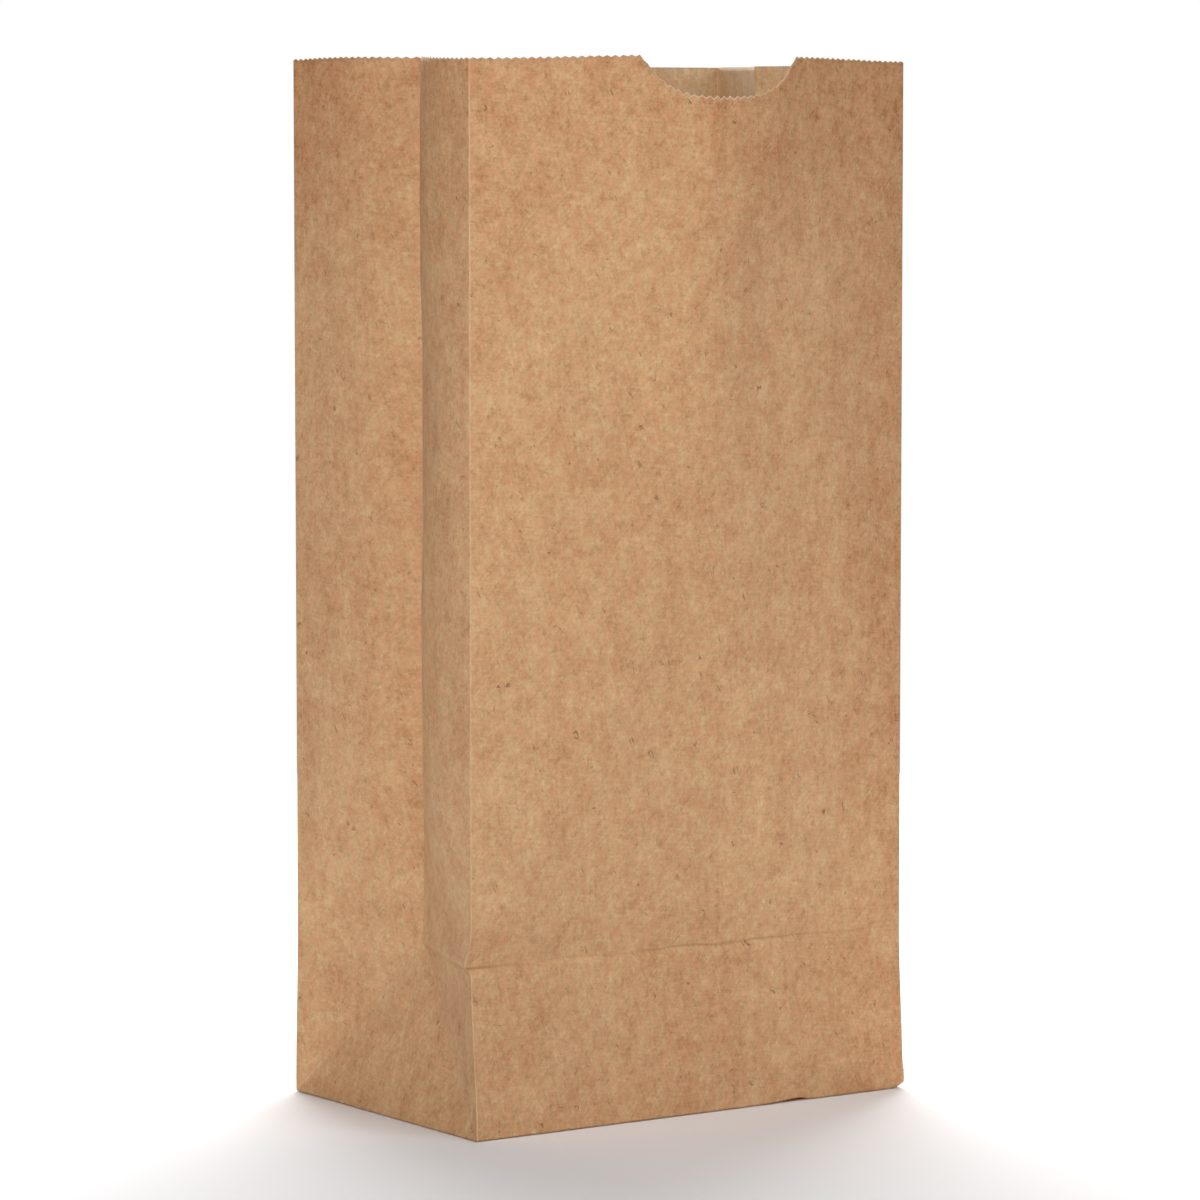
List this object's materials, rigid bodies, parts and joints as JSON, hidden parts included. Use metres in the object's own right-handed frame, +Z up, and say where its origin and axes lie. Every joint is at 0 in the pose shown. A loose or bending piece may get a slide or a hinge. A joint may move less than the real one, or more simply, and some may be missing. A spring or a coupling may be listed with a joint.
{
  "type": "paper lunch bag",
  "caption": "Open brown kraft paper lunch bag with pleated sides, toothed mouth, thumb notch and a folded flat base.",
  "frame": {"origin": "middle of the rectangular base, on the underside of the outer base flap, which rests on the table", "axes": "+Z up through the mouth, the front panel with the thumb notch faces -Y, +X to the right of someone facing that panel's back (left to right across the front as seen from -Y)"},
  "size_m": [0.1239, 0.0981, 0.2477],
  "materials": {
    "kraft": "uncoated brown kraft, matt, faintly mottled with fibres"
  },
  "bodies": {
    "root": {"paper_bag": "kraft"}
  },
  "joints": []
}
